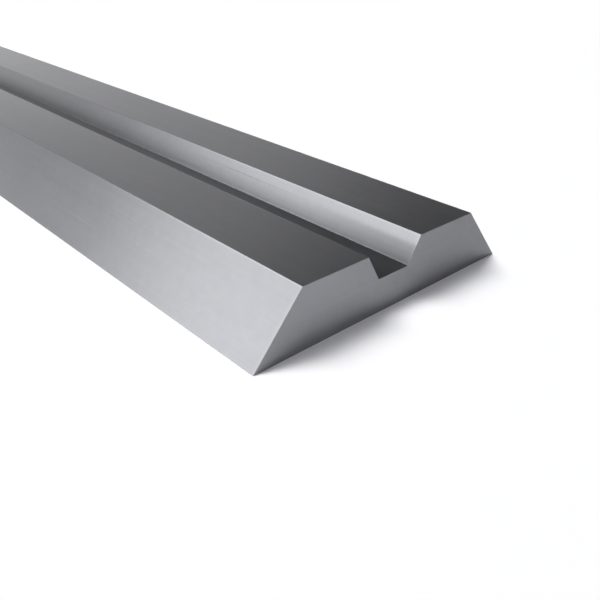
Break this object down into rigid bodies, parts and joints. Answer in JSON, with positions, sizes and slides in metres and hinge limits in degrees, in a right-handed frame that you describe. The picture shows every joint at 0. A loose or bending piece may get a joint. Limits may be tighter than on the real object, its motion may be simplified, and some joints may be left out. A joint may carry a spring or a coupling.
{
  "type": "reversible carbide knife",
  "caption": "Solid carbide reversible cutter knife: a flat bar with a cutting edge along each long side and a locating groove between two back lands.",
  "frame": {"origin": "centre of the wide face, which lies on the surface below and joins the two cutting edges", "axes": "+X along the knife, parallel to the cutting edges; +Y across it, from one cutting edge to the other; +Z from the wide face to the lands and out of the groove"},
  "size_m": [0.06, 0.016, 0.003],
  "materials": {
    "ground_carbide": "fine ground, satin, with faint grinding lines along the knife"
  },
  "bodies": {
    "root": {"knife": "ground_carbide"}
  },
  "joints": []
}
